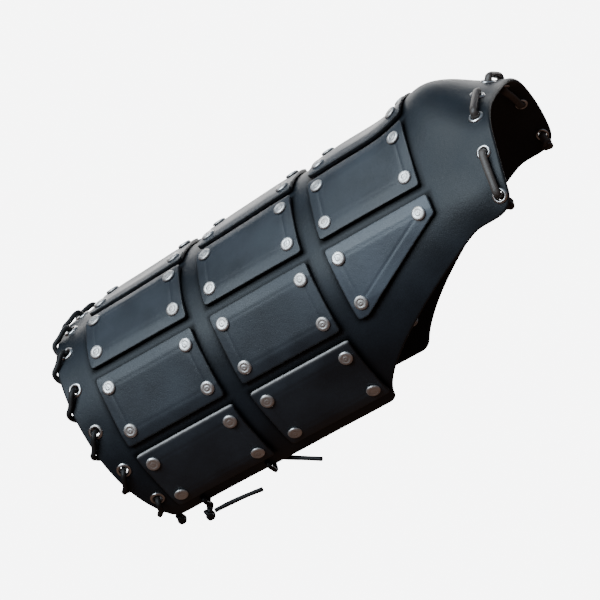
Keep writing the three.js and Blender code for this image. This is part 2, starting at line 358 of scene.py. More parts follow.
def toPart(points):
    # from the sleeve's own millimetres to metres in the shared frame
    return ((np.asarray(points) - lacedEdge) @ turn.T) * 0.001


def gridFaces(rows, columns, first=0, flip=False):
    # one four-sided face between each pair of rows and of columns
    r = np.arange(rows - 1)[:, None]
    c = np.arange(columns - 1)[None, :]
    below, above = r * columns, (r + 1) * columns
    faces = np.stack([below + c, above + c, above + c + 1, below + c + 1], -1).reshape(-1, 4) + first
    return faces[:, ::-1] if flip else faces


def joined(parts):
    # several bodies as one: each list of faces counts on from the last body's points
    points, faces, count = [], [], 0
    for partPoints, partFaces in parts:
        points.append(np.asarray(partPoints).reshape(-1, 3))
        faces += [f + count for f in partFaces]
        count += len(points[-1])
    return np.concatenate(points), faces


def makePiece(name, points, faces, finishes, slot, replaced=(), finishOf=None, fields=None):
    # fields are values that a finish reads at each point; finishOf gives each face its finish
    mesh = bpy.data.meshes.new(name)
    corners = np.concatenate([f.ravel() for f in faces]).astype(np.int32)
    sizes = np.concatenate([np.full(len(f), f.shape[1]) for f in faces])
    starts = np.concatenate([[0], np.cumsum(sizes)[:-1]]).astype(np.int32)
    mesh.vertices.add(len(points))
    mesh.vertices.foreach_set("co", toPart(points).astype(np.float32).ravel())
    mesh.loops.add(len(corners))
    mesh.loops.foreach_set("vertex_index", corners)
    mesh.polygons.add(len(starts))
    mesh.polygons.foreach_set("loop_start", starts)
    mesh.polygons.foreach_set("use_smooth", np.ones(len(starts), bool))
    for finish in finishes:
        mesh.materials.append(finish)
    if finishOf is not None:
        mesh.polygons.foreach_set("material_index", finishOf.astype(np.int32))
    for kind, values in (fields or {}).items():
        stored = mesh.attributes.new(kind, "FLOAT", "POINT").data
        stored.foreach_set("value", values.astype(np.float32))
    mesh.update(calc_edges=True)
    piece = linked(name, mesh)
    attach(piece, "root")
    if replaced:
        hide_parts(*replaced)
    return piece


def throughPoints(points, steps):
    # Catmull-Rom: each stretch is the cubic through its two points that leaves each of them
    # parallel to the line between its neighbours
    p = np.asarray(points, float)
    p = np.concatenate([[2 * p[0] - p[1]], p, [2 * p[-1] - p[-2]]])
    t = (np.arange(steps) / steps)[None, :, None]
    a, b, c, d = (p[i:len(p) - 3 + i, None, :] for i in range(4))
    curve = b + 0.5 * t * (c - a + t * (2 * a - 5 * b + 4 * c - d + t * (3 * (b - c) + d - a)))
    return np.concatenate([curve.reshape(-1, 3), p[-2:-1]])


def lengthsAlong(path):
    # how far along the line each of its points lies
    return np.concatenate([[0], np.cumsum(np.linalg.norm(np.diff(path, axis=0), axis=1))])


def evenly(path, gap):
    # the same line with its points a fixed distance apart
    lengths = lengthsAlong(path)
    places = np.linspace(0, lengths[-1], max(2, round(lengths[-1] / gap) + 1))
    return np.stack([np.interp(places, lengths, path[:, i]) for i in range(3)], 1)


def tubed(rings, poles=None):
    # rings of points joined each to the next; without poles the last is joined to the first,
    # with them each end is closed by a cone
    count, sides = rings.shape[:2]
    grid = np.arange(count * sides).reshape(count, sides)
    here, there = (grid, np.roll(grid, -1, 0)) if poles is None else (grid[:-1], grid[1:])
    faces = np.stack([here, np.roll(here, -1, 1), np.roll(there, -1, 1), there], -1).reshape(-1, 4)
    points = rings.reshape(-1, 3)
    if poles is None:
        return points, [faces]
    low, high = grid[0], grid[-1]
    lowCap = np.stack([np.full(sides, len(points)), np.roll(low, -1), low], 1)
    highCap = np.stack([np.full(sides, len(points) + 1), high, np.roll(high, -1)], 1)
    return np.concatenate([points, poles]), [faces, lowCap, highCap]


def strand(path, across, radius, sides=12, squareness=3.0, closed=False, twist=0.0, wide=1.0):
    # a rounded square or oblong carried along the path; a twisted lace's corners turn slowly.
    # its section reaches out by the radius over the s-th root of |cos|^s + |sin|^s, s the squareness
    if closed:
        tangent = np.roll(path, -1, 0) - np.roll(path, 1, 0)
    else:
        tangent = np.gradient(path, axis=0)
    tangent = unit(tangent)
    across = np.broadcast_to(across, path.shape)
    side = unit(across - tangent * np.sum(across * tangent, 1, keepdims=True))
    up = np.cross(tangent, side)
    step = np.linalg.norm(np.diff(path, axis=0, prepend=path[:1]), axis=1)
    angle = 2 * math.pi * (np.arange(sides) + 0.5)[None, :] / sides
    powers = np.abs(np.cos(angle)) ** squareness + np.abs(np.sin(angle)) ** squareness
    reach = radius / powers ** (1 / squareness)
    lean = angle + twist * np.cumsum(step)[:, None]
    ring = side[:, None] * (wide * reach * np.cos(lean))[..., None]
    ring = ring + up[:, None] * (reach * np.sin(lean))[..., None]
    if closed:
        return tubed(path[:, None] + ring)
    swell = radius * 0.25  # the cut ends are slightly domed
    ends = np.stack([path[0] - tangent[0] * swell, path[-1] + tangent[-1] * swell])
    return tubed(path[:, None] + ring, ends)


def knotted(centre, size, radius, directions, lean=0.0):
    # the trefoil: twice round a ring while rising and falling three times
    t = np.linspace(0, 2 * math.pi, 72, endpoint=False)
    local = np.stack([
        (2 + np.cos(3 * t)) * np.cos(2 * t + lean),
        (2 + np.cos(3 * t)) * np.sin(2 * t + lean),
        1.15 * np.sin(3 * t),
    ], 1) * size
    path = centre + local @ np.asarray(directions)
    return strand(path, np.asarray(directions)[2], radius, sides=10, closed=True)


def turnedOn(profile, sides, along, around, lift=0.0, ringed=False):
    # a profile of radius and height turned about the line straight out of the leather;
    # a ringed profile closes on itself, any other ends on the line in two poles
    profile = np.asarray(profile, float)
    angle = 2 * math.pi * np.arange(sides) / sides
    x, y, z = standing(along, around)
    foot = onSleeve(along, around) + z * lift
    body = profile if ringed else profile[1:-1]
    ring = np.cos(angle)[:, None] * x + np.sin(angle)[:, None] * y
    rings = foot + body[:, 0][:, None, None] * ring + (body[:, 1][:, None] * z)[:, None]
    return tubed(rings, None if ringed else foot + profile[[0, -1], 1][:, None] * z)


def cornerDrop(distance, radius):
    # a quarter circle: how far a rounded edge falls at a distance from the edge
    inside = np.clip(distance, 0, radius)
    return radius - np.sqrt(radius ** 2 - (radius - inside) ** 2)


def borderOf(grid):
    # once round a grid, from its first corner
    return np.concatenate([grid[0, :-1], grid[:-1, -1], grid[-1, :0:-1], grid[:0:-1, 0]])


def sheetOf(plan, outerLift, innerLift):
    # two faces over the same plan, joined by a band round their border
    rows, columns = plan.shape[:2]
    outer = onSleeve(plan[..., 0], plan[..., 1], outerLift)
    inner = onSleeve(plan[..., 0], plan[..., 1], innerLift)
    count = rows * columns
    loop = borderOf(np.arange(count).reshape(rows, columns))
    after = np.roll(loop, -1)
    band = np.stack([loop, after, after + count, loop + count], 1)
    faces = [gridFaces(rows, columns), gridFaces(rows, columns, count, flip=True), band]
    return np.concatenate([outer.reshape(-1, 3), inner.reshape(-1, 3)]), faces


def toLoop(plan, loop):
    # how far each place is from the nearest stretch of a closed line
    flat = plan.reshape(-1, 2)
    nearest = np.full(len(flat), np.inf)
    start, stretch = loop, np.roll(loop, -1, 0) - loop
    for part in np.array_split(np.arange(len(loop)), min(24, len(loop))):  # to save memory
        a, b = start[part][:, None], stretch[part][:, None]
        share = np.clip(np.sum((flat - a) * b, -1) / np.maximum(np.sum(b * b, -1), 1e-9), 0, 1)
        gap = np.linalg.norm(flat - a - share[..., None] * b, axis=-1)
        nearest = np.minimum(nearest, gap.min(0))
    return nearest.reshape(plan.shape[:2])


# each look's shadowTone is the colour of the painted shadow beside the plates
leatherLooks = {
    # painted shade: the same leather as the plates, made darker and less glossy so the shell between
    # and beside them reads as shade
    "shellShadedGrain": {
        "dark": (0.006, 0.009, 0.013), "light": (0.014, 0.020, 0.028),
        "edge": (0.012, 0.013, 0.015), "shadowTone": (0.002, 0.002, 0.002),
        "shine": (0.40, 0.54), "gloss": 0.36, "grain": 1050, "relief": 0.22,
    },
    "plateGrain": {
        "dark": (0.014, 0.018, 0.024), "light": (0.032, 0.041, 0.053),
        "edge": (0.007, 0.007, 0.008), "shadowTone": (0.002, 0.002, 0.002),
        "shine": (0.36, 0.50), "gloss": 0.5, "grain": 1050, "relief": 0.20,
    },
    # painted light: the plate leather again, lighter, bluer and glossier where the triangular plates
    # catch the light
    "triangleLitGrain": {
        "dark": (0.034, 0.044, 0.058), "light": (0.066, 0.083, 0.106),
        "edge": (0.007, 0.007, 0.008), "shadowTone": (0.002, 0.002, 0.002),
        "shine": (0.34, 0.46), "gloss": 0.6, "grain": 1050, "relief": 0.20,
    },
    "blackLace": {
        "dark": (0.005, 0.005, 0.006), "light": (0.016, 0.014, 0.013),
        "edge": (0.03, 0.03, 0.03), "shadowTone": (0.002, 0.002, 0.002),
        "shine": (0.45, 0.65), "gloss": 0.4, "grain": 1900, "relief": 0.3,
    },
    # painted light: the black lace again, lighter and browner where the tongue's lace catches the light
    "tongueLitLace": {
        "dark": (0.040, 0.031, 0.027), "light": (0.105, 0.086, 0.076),
        "edge": (0.12, 0.10, 0.09), "shadowTone": (0.004, 0.003, 0.003),
        "shine": (0.34, 0.5), "gloss": 0.5, "grain": 1900, "relief": 0.3,
    },
}
leatherCommon = {
    "toneScale": 26,
    "toneRange": (0.32, 0.68),  # the part of the noise over which dark turns to light
    "creaseScale": 330,
    "rubbing": (0.5, 1.3, 0.35, 0.65),  # creases change how far an edge is rubbed
    "scuffGlinting": (0.75, 1.0, 0.35, 0.6),  # and how far a place with the scuff and painted glint turns pale
    "bare": (0.52, 0.50, 0.49),  # scuffed-off finish and painted glint: near white along the low plates' upper sides
    # the painted shadow beside the plates: how dark it gets, and the share of the gloss it keeps
    "shadowDepth": 0.9,
    "shadowGloss": 0.1,
    "shineRange": (0.3, 0.7),
    "pebbleShine": (-0.03, 0.05),
    "pebbleHeight": 0.5,
    "creaseHeight": 0.8,
    "height": 0.0006,
    "wax": {"Coat Weight": 0.08, "Coat Roughness": 0.35},
}
flesh = {
    "toneScale": 38,
    "toneShare": 0.6,
    "fibreScale": 900,
    "fibreShare": 0.4,
    "dark": (0.012, 0.012, 0.013),
    "light": (0.060, 0.056, 0.054),
    "relief": 0.5,
    "height": 0.0005,
    "surface": {"Roughness": 0.92, "Specular IOR Level": 0.2, "Sheen Weight": 0.15},
}
nickel = {
    "stainScale": 170,
    "stainRange": (0.4, 0.66),
    "stainShine": (-0.06, 0.14, 0.35, 0.7),
    "scratchScale": 2600,
    "scratchStretch": (1, 0.12, 1),
    "scratchShine": (-0.05, 0.05),
    "relief": 0.12,
    "height": 0.0002,
}
nickelLooks = {
    # bright, dull, roughness
    "rivetNickel": ((0.80, 0.79, 0.78), (0.56, 0.52, 0.49), 0.46),
    "eyeletNickel": ((0.74, 0.74, 0.74), (0.46, 0.44, 0.42), 0.26),
}


def leatherFinish(name, look):
    # pebbled grain over fine creases; tone and shine change slowly, edges are rubbed, a painted shadow
    # darkens the shell beside the plates, and a scuff with a painted glint lightens the low plates'
    # upper sides
    common = leatherCommon
    material, tree, shader, place = started(name)
    tone = texture(tree, "Noise", place, common["toneScale"], 5).outputs["Fac"]
    creases = texture(tree, "Noise", place, common["creaseScale"], 6).outputs["Fac"]
    pebbles = texture(tree, "Voronoi", place, look["grain"]).outputs["Distance"]
    wear, plateShadow, scuffGlint = (field(tree, kind) for kind in ("wear", "plateShadow", "scuffGlint"))

    light = spread(tree, tone, 0, 1, *common["toneRange"])
    rubbed = summed(tree, wear, spread(tree, creases, *common["rubbing"]), "MULTIPLY")
    bare = summed(tree, scuffGlint, spread(tree, creases, *common["scuffGlinting"]), "MULTIPLY")
    colour = blended(tree, light, look["dark"], look["light"])
    colour = blended(tree, rubbed, colour, look["edge"])
    # painted shadow: the shell darkens beside the plates
    colour = blended(tree, spread(tree, plateShadow, 0, common["shadowDepth"]), colour, look["shadowTone"])
    # scuff and painted glint: the low plates' upper sides turn near white
    colour = blended(tree, bare, colour, common["bare"])
    tree.links.new(colour, shader.inputs["Base Color"])

    # the painted shadow dulls the gloss too
    gloss = spread(tree, plateShadow, look["gloss"], look["gloss"] * common["shadowGloss"])
    tree.links.new(gloss, shader.inputs["Specular IOR Level"])
    shine = spread(tree, tone, *look["shine"], *common["shineRange"])
    shine = summed(tree, shine, spread(tree, pebbles, *common["pebbleShine"]))
    tree.links.new(shine, shader.inputs["Roughness"])
    height = summed(tree, spread(tree, pebbles, 0, common["pebbleHeight"]),
                    spread(tree, creases, 0, common["creaseHeight"]))
    raised(tree, shader, height, look["relief"], common["height"])
    noted(shader, common["wax"])
    return material


def fleshFinish():
    # the rough inner side of the hide: short dark fibres with no gloss
    material, tree, shader, place = started("shellFlesh")
    tone = texture(tree, "Noise", place, flesh["toneScale"], 6).outputs["Fac"]
    fibres = texture(tree, "Noise", place, flesh["fibreScale"], 8).outputs["Fac"]
    share = summed(tree, spread(tree, tone, 0, flesh["toneShare"]),
                   spread(tree, fibres, 0, flesh["fibreShare"]))
    colour = blended(tree, share, flesh["dark"], flesh["light"])
    tree.links.new(colour, shader.inputs["Base Color"])
    raised(tree, shader, fibres, flesh["relief"], flesh["height"])
    noted(shader, flesh["surface"])
    return material


def nickelFinish(name, bright, dull, roughness):
    # plated metal, rubbed bright in places and dull in others, with fine scratches
    material, tree, shader, place = started(name)
    stains = texture(tree, "Noise", place, nickel["stainScale"], 5).outputs["Fac"]
    stretched = tree.nodes.new("ShaderNodeMapping")
    stretched.inputs["Scale"].default_value = nickel["scratchStretch"]
    tree.links.new(place, stretched.inputs["Vector"])
    scratches = texture(tree, "Noise", stretched.outputs[0], nickel["scratchScale"], 4)
    scratches = scratches.outputs["Fac"]
    colour = blended(tree, spread(tree, stains, 0, 1, *nickel["stainRange"]), bright, dull)
    tree.links.new(colour, shader.inputs["Base Color"])
    least, most, fromLow, fromHigh = nickel["stainShine"]
    rough = summed(tree, spread(tree, stains, roughness + least, roughness + most, fromLow, fromHigh),
                   spread(tree, scratches, *nickel["scratchShine"]))
    tree.links.new(rough, shader.inputs["Roughness"])
    raised(tree, shader, scratches, nickel["relief"], nickel["height"])
    noted(shader, {"Metallic": 1.0})
    return material


leathers = [leatherFinish(name, look) for name, look in leatherLooks.items()]
shellShadedGrain, plateGrain, triangleLitGrain, blackLace, tongueLitLace = leathers
shellFlesh = fleshFinish()
rivetNickel, eyeletNickel = (nickelFinish(name, *look) for name, look in nickelLooks.items())

print("stage: ties")

tie = {
    "radius": 1.5,
    "holeInset": 7,
    "knotRadius": 4.5,  # from the knot's middle to where the free end leaves it
    "knotSize": 1.2,
    "knotLace": 0.95,
    "knotLean": 0.4,
    # the front crossing's points: how far round from the edge or the hole, and their lift
    "fromEdge": [(3, 1.6), (-1, 2.4)],
    "fromHole": [(1.2, 2.4), (0.2, 0.8), (0, -3.6), (0.8, -5.4)],
    "underEdge": 5,
    "inside": (49, -151),  # y and z of the lace just inside the front edge
    "touch": 0.3,
    "steps": 14,
    "places": {
        # knot and the free end's tip are x, y, z in the sleeve's axes
        "cuff": {"along": 225, "knot": (229, 57, -161), "tip": (187, 57, -161), "droop": 2.5},
        "armpit": {"along": 172, "knot": (172, 48.5, -149), "tip": (139, 58, -164), "droop": 0.5},
    },
}


def freeEnd(name, place):
    # a straight line from the knot to the tip, which falls with the square of its share
    share = np.linspace(0, 1, tie["steps"] + 1)[:, None]
    knot, tip = np.array(place["knot"], float), np.array(place["tip"], float)
    clear = (tie["knotRadius"] + tie["touch"]) / np.linalg.norm(tip - knot)
    start = knot + (tip - knot) * clear
    local = start + (tip - start) * share - np.array([0, 0, place["droop"]]) * share ** 2
    route = evenly(throughPoints(local, 4), 0.8)
    body = strand(route, (0, 1, 0), tie["radius"], twist=0.05)
    piece = makePiece(f"tieEnd_{name}", *body, [blackLace], "lace_leather", [f"tie_{name}_end"])


def tieAcross(name, place):
    # in through the front hole, across to the back hole and out, round the back edge, across
    # again and to the knot
    edge = sleeve["halfGirth"]
    hole = edge - tie["holeInset"]
    half = np.array([(edge + away, lift) for away, lift in tie["fromEdge"]]
                    + [(hole + away, lift) for away, lift in tie["fromHole"]])
    knot = np.array(place["knot"], float)
    front = onSleeve(place["along"], half[:, 0], half[:, 1])
    back = onSleeve(place["along"], -half[::-1, 0], half[::-1, 1])
    under = onSleeve(place["along"], -edge - tie["underEdge"], -sleeve["wall"] / 2)
    share = np.array([[1 / 3], [2 / 3]])
    across = front[-1] + (back[0] - front[-1]) * share - (0, 0, 1)
    inside = np.array([place["along"], *tie["inside"]])
    again = under + (inside - under) * share
    route = np.concatenate([[knot], front, across, back, [under], again, [inside, knot]])
    path = evenly(throughPoints(route, 12), 1.1)
    directions = np.eye(3)[[1, 2, 0]]
    parts = [
        strand(path, (1, 0, 0), tie["radius"], twist=0.03),
        knotted(knot, tie["knotSize"], tie["radius"] * tie["knotLace"], directions, tie["knotLean"]),
    ]
    makePiece(f"tie_{name}_lace", *joined(parts), [blackLace], "lace_leather", [f"tie_{name}"])


for tieName, tiePlace in tie["places"].items():
    freeEnd(tieName, tiePlace)
    tieAcross(tieName, tiePlace)

plate = {
    "length": 78,
    "width": 50,
    "thickness": 3.5,
    "gap": 0.5,
    "columnPitch": 57.4,
    "ringStart": 15,
    "ringPitch": 92.5,
    "rivetAlong": 62.5,
    "rivetAcross": 31,
    "tipWidth": 13.6,
    "tipReach": 41,
    "hypotenuseEnd": 31.3,
    "corner": 2.4,  # radius of its corners, seen from above
    "edge": 0.55,  # radius along its upper edge
    "underEdge": 0.6,  # and along its lower edge
    "fall": 0.5,  # the border band slopes down this much
    "fallWidth": 7,
    "flat": 0.85,  # how nearly flat the field between the rivets lies, from 0 to 1
    "groove": 0.2,
    "grooveWidth": 1.1,
    "dimple": 0.4,
    "dimpleWidth": 6.3,
    "wearWidth": 0.8,
    # how far the scuff and painted glint spreads from a low plate's upper side
    "scuffGlintWidth": 0.9,
    # distances of the rows and columns nearest its sides, then the gap between the others
    "rowSteps": (0, 0.12, 0.4, 0.9, 1.6, 2.6, 3.8, 5.2, 6.3, 7.0, 7.4, 7.75, 8.1, 8.6, 9.4, 10.6),
    "rowGap": 2.2,
    "columnSteps": (0, 0.12, 0.4, 0.9, 1.6, 2.6, 4, 5.6, 7.2, 8.4, 9.0, 9.5, 10.0, 10.6, 11.6, 13),
    "columnGap": 2,
    "triangleSteps": (0, 0.12, 0.4, 0.9, 1.6, 2.4),
    "triangleGap": 0.8,
    "triangleRows": 72,
}
columnNames = {0: "ridge", 1: "top", 2: "mid", 3: "low"}
eyeletRows = {
    "tongue": (-114.0, -83, -52, -20, 20, 52, 83, 114),
    "tongueStraight": 100,  # past it the row no longer follows the tongue's end
    "cuffCount": 13,
    "cuffPitch": 32,
    "cuffShift": -8,
}


def listPlates():
    # an even grid: the ring's number gives the place along, the column's the place round
    found = []
    for ring in range(3):
        for column in range(-3, 4):
            if ring == 0 and abs(column) == 3:
                continue
            side = "" if column == 0 else "front_" if column > 0 else "back_"
            found.append({
                "node": f"plate_{side}{columnNames[abs(column)]}_{ring + 1}",
                "along": plate["ringStart"] + plate["ringPitch"] * ring,
                "around": plate["columnPitch"] * column,
                "outward": 1 if column >= 0 else -1,
                "triangular": ring == 0 and abs(column) == 2,
                # the low plates get the scuff and painted glint on their upper side
                "scuffGlinted": float(abs(column) == 3),
            })
    for one in found:
        corners = [(-1, -1), (1, -1), (1, 1), (-1, 1)]  # end, lower side
        if one["triangular"]:
            corners.remove((-1, 1))
        one["rivets"] = np.array(corners) * (plate["rivetAlong"] / 2, plate["rivetAcross"] / 2)
    return found


def shoulderEdge(around):
    # the tongue's end: it leans back with the fourth power of the way to its corner
    distance = np.abs(around)
    start = sleeve["tongueHalf"] - sleeve["tongueCorner"]
    return sleeve["tongueEnd"] + sleeve["tongueLean"] * np.minimum(distance / start, 1) ** 4


def cuffEdge(around):
    # the cuff's end: it rises with the fourth power of the way round to the underside
    return sleeve["cuffEnd"] - sleeve["cuffRise"] * (np.abs(around) / sleeve["halfGirth"]) ** 4


def outlineOf(triangular):
    # corners of a plate, counter-clockwise with the along axis to the right
    half, reach = plate["width"] / 2, plate["length"] / 2
    if not triangular:
        return np.array([(-reach, -half), (reach, -half), (reach, half), (-reach, half)])
    tip = plate["tipReach"]
    slanted = [(plate["hypotenuseEnd"], half), (-tip, -half + plate["tipWidth"])]
    return np.array([(-tip, -half), (reach, -half), (reach, half), *slanted])


def toSides(plan, outline):
    # distance inwards from each straight side: the way from its corner times its inward direction
    side = unit(np.roll(outline, -1, 0) - outline)
    inwards = np.stack([-side[:, 1], side[:, 0]], 1)
    distances = np.einsum("rck,sk->src", plan, inwards) - np.sum(outline * inwards, 1)[:, None, None]
    return distances, side, inwards


plates = listPlates()
tongueAround = np.array(eyeletRows["tongue"])
followed = np.minimum(np.abs(tongueAround), eyeletRows["tongueStraight"])
tongueAlong = shoulderEdge(followed) + sleeve["eyeletInset"]
cuffSteps = np.arange(eyeletRows["cuffCount"]) - (eyeletRows["cuffCount"] - 1) / 2
cuffAround = cuffSteps * eyeletRows["cuffPitch"] + eyeletRows["cuffShift"]
cuffAlong = cuffEdge(cuffAround) - sleeve["eyeletInset"]
tongueHoles = np.stack([tongueAlong, tongueAround], 1)
cuffHoles = np.stack([cuffAlong, cuffAround], 1)
rivetPlaces = np.concatenate([
    one["rivets"] * (1, one["outward"]) + (one["along"], one["around"]) for one in plates
])

print("stage: shell")

shell = {
    "columns": 276,
    "rows": 136,
    "edgeSteps": (0, 0.12, 0.4, 0.9, 1.6, 2.6, 4.2),  # rows nearest each edge, in millimetres
    "length": 330,  # over which the steps nearest the ends are measured
    "outlineSteps": (60, 16, 160),  # points on half the tongue's end, its corner and the armpit
    "edge": 1.2,  # radius along its edges
    "corner": 6,
    "smoothing": 9,  # length over which the outline is eased
    "rivetSink": 0.35,
    "eyeletSink": 0.5,
    "sinkWidth": 7,
    "wearWidth": 1.6,
    "plateShadowWidth": 2.3,  # painted shadow: a dark line this wide beside each plate stands in for the shade the plates cast
}
punch = {"eyelet": 3.5, "tie": 2.1, "below": 7, "above": 5, "sides": 20}


def edgedShares(count, length, steps):
    # even shares from 0 to 1, with the given steps crowded at both ends
    near = np.array(steps) / length
    middle = np.linspace(near[-1], 1 - near[-1], count)
    return np.concatenate([near[:-1], middle, 1 - near[:-1][::-1]])


def shoulderOutline():
    # the tongue's end, its round corner, its side and the armpit cut, eased by a running mean
    start, half = sleeve["tongueHalf"] - sleeve["tongueCorner"], sleeve["tongueHalf"]
    endSteps, cornerSteps, armpitSteps = shell["outlineSteps"]
    end = np.linspace(0, start, endSteps)
    bend = np.linspace(0, math.pi / 2, cornerSteps)[1:]
    share = np.linspace(0, 1, armpitSteps)
    corner = sleeve["tongueCorner"]
    along = np.concatenate([
        shoulderEdge(end),
        sleeve["tongueEnd"] + sleeve["tongueLean"] + corner * (1 - np.cos(bend)),
        sleeve["armpitTop"] + sleeve["armpitDepth"] * (1 - (1 - share) ** sleeve["armpitPower"]),
    ])
    side = half + (sleeve["halfGirth"] - half) * share
    around = np.concatenate([end, start + corner * np.sin(bend), side])
    line = np.stack([along, around, np.zeros(len(along))], 1)
    line = evenly(line, 1.0)
    line = np.concatenate([(line * (1, -1, 1))[:0:-1], line])
    reach = shell["smoothing"]
    padded = np.concatenate([np.repeat(line[:1], reach, 0), line, np.repeat(line[-1:], reach, 0)])
    kernel = np.hanning(2 * reach + 3)[1:-1]
    kernel /= kernel.sum()
    eased = np.stack([np.convolve(padded[:, i], kernel, "valid") for i in range(2)], 1)
    eased[[0, -1]] = line[[0, -1], :2]
    return eased


def shareAlong(line, shares):
    # places on a flat line at the given shares of its length
    lengths = lengthsAlong(line)
    return np.stack([np.interp(shares * lengths[-1], lengths, line[:, i]) for i in range(2)], 1)


def shellPlan():
    # a Coons patch: the two ends and the two sides blended, less the four corners counted twice
    t = edgedShares(shell["columns"], 2 * sleeve["halfGirth"], shell["edgeSteps"])
    s = edgedShares(shell["rows"], shell["length"], shell["edgeSteps"])
    first = shareAlong(shoulderOutline(), t)
    around = (2 * t - 1) * sleeve["halfGirth"]
    last = np.stack([cuffEdge(around), around], 1)
    a, b = s[:, None, None], t[None, :, None]
    low = first[0] + (last[0] - first[0]) * a
    high = first[-1] + (last[-1] - first[-1]) * a
    ends = first[None] * (1 - a) + last[None] * a
    corners = (first[0] * (1 - a) + last[0] * a) * (1 - b)
    corners = corners + (first[-1] * (1 - a) + last[-1] * a) * b
    plan = ends + low * (1 - b) + high * b - corners
    return roundedCorners(plan, first[0][0])


def roundedCorners(plan, armpitEnd):
    # near a corner, the square of places is drawn in to a quarter circle
    along, around = plan[..., 0].copy(), plan[..., 1]
    radius = shell["corner"]
    side = np.sign(around)
    fromSide = sleeve["halfGirth"] - np.abs(around)
    for edgeAt, sign in ((cuffEdge(around), -1), (np.full_like(along, armpitEnd), 1)):
        fromEdge = (along - edgeAt) * sign
        a, b = radius - fromEdge, radius - fromSide
        near = (a > 0) & (b > 0) & (fromEdge > -1)
        scale = np.where(near, np.maximum(a, b) / np.maximum(np.hypot(a, b), 1e-9), 1)
        along = np.where(near, along + sign * a * (1 - scale), along)
        fromSide = np.where(near, fromSide + b * (1 - scale), fromSide)
    return np.stack([along, side * (sleeve["halfGirth"] - fromSide)], -1)


def sunk(plan, places, depth, width):
    # a bell-shaped hollow about each place: depth times exp of minus the squared distance in widths
    total = np.zeros(plan.shape[:2])
    for place in places:
        gap = np.sum((plan - place) ** 2, -1)
        total += depth * np.exp(-gap / width ** 2)
    return total


def shadowBesidePlates(plan):
    # painted shadow beside the plates: one under them, falling as a bell with the distance from the
    # nearest plate
    nearest = np.full(plan.shape[:2], np.inf)
    for one in plates:
        local = (plan - (one["along"], one["around"])) * (1, one["outward"])
        inwards = toSides(local, outlineOf(one["triangular"]))[0].min(0)
        nearest = np.minimum(nearest, np.maximum(-inwards, 0))
    return bell(nearest, shell["plateShadowWidth"])


def makeShell():
    # the sheet's lift is the leather's unevenness, less the hollows and the fall of its rounded edges
    plan = shellPlan()
    toEdge = toLoop(plan, borderOf(plan))
    base = worn(plan[..., 0], plan[..., 1])
    base = base - sunk(plan, rivetPlaces, shell["rivetSink"], shell["sinkWidth"])
    eyelets = np.concatenate([tongueHoles, cuffHoles])
    base = base - sunk(plan, eyelets, shell["eyeletSink"], shell["sinkWidth"])
    outer = base - cornerDrop(toEdge, shell["edge"])
    inner = base - sleeve["wall"] + cornerDrop(toEdge, shell["edge"])
    points, faces = sheetOf(plan, outer, inner)
    finishOf = np.concatenate([np.full(len(f), k) for f, k in zip(faces, (0, 1, 0))])
    wear = bell(toEdge, shell["wearWidth"]).ravel()
    # painted shadow beside the plates, on the outer face only
    plateShadow = shadowBesidePlates(plan).ravel()
    fields = {"wear": np.concatenate([wear, wear]), "plateShadow": np.concatenate([plateShadow, plateShadow * 0])}
    # the shell takes the darker, painted-shade copy of the plate leather
    piece = makePiece("shellLeather", points, faces, [shellShadedGrain, shellFlesh], "shell_leather",
                      ["shell"], finishOf=finishOf, fields=fields)
    cutHoles(piece)


def cutHoles(piece):
    # straight punches through the eyelet and tie places, taken out of the shell
    punches = [(place, punch["eyelet"]) for place in np.concatenate([tongueHoles, cuffHoles])]
    tieAround = sleeve["halfGirth"] - tie["holeInset"]
    for place in tie["places"].values():
        for side in (1, -1):
            punches.append(((place["along"], side * tieAround), punch["tie"]))
    low, high = -punch["below"], punch["above"]
    profile = np.array([(0, low), (1, low), (1, high), (0, high)])
    parts = [turnedOn(profile * (radius, 1), punch["sides"], *place) for place, radius in punches]
    points, faces = joined(parts)
    faces = [tuple(face) for part in faces for face in part.tolist()]
    mesh = bpy.data.meshes.new("punches")
    mesh.from_pydata(toPart(points).tolist(), [], faces)
    cutter = linked("punches", mesh)
    cut = piece.modifiers.new("holes", "BOOLEAN")
    cut.operation, cut.object, cut.solver = "DIFFERENCE", cutter, "EXACT"
    bpy.context.view_layer.update()
    done = bpy.data.meshes.new_from_object(piece.evaluated_get(bpy.context.evaluated_depsgraph_get()))
    piece.modifiers.clear()
    piece.data = done
    bpy.data.objects.remove(cutter)


makeShell()

print("stage: plates")


def spaced(low, high, near, gap):
    # places from low to high, with the near distances kept from both ends and even gaps between
    near = np.array([n for n in near if n < (high - low) / 2])
    count = max(2, round((high - low - 2 * near[-1]) / gap) + 1)
    between = np.linspace(low + near[-1], high - near[-1], count)
    return np.concatenate([low + near[:-1], between, high - near[:-1][::-1]])


def platePlan(triangular):
    # rows along and columns across a plate, about its middle; a triangular one starts on its long side
    half = plate["width"] / 2
    end = plate["length"] / 2
    if not triangular:
        rows = spaced(-end, end, plate["rowSteps"], plate["rowGap"])
        columns = spaced(-half, half, plate["columnSteps"], plate["columnGap"])
        return np.stack(np.meshgrid(rows, columns, indexing="ij"), -1)
    columns = spaced(-half, half, plate["triangleSteps"], plate["triangleGap"])
    tipSide = -half + plate["tipWidth"]
    run, rise = plate["tipReach"] + plate["hypotenuseEnd"], half - tipSide
    start = -plate["tipReach"] + run * np.maximum(0, (columns - tipSide) / rise)
    slant = np.where(columns > tipSide, math.hypot(run, rise) / rise, 1.0)
    near = np.array(plate["triangleSteps"])[:, None]
    most = (end - start) / 7  # so the crowded rows stay in order where the plate is short
    lowRows = start + near * np.minimum(slant, most)
    highRows = end - near[::-1] * np.minimum(1, most)
    between = np.linspace(0, 1, plate["triangleRows"] + 2)[1:-1, None]
    rows = np.concatenate([lowRows, lowRows[-1] + (highRows[0] - lowRows[-1]) * between, highRows])
    return np.stack([rows, np.broadcast_to(columns, rows.shape)], -1)


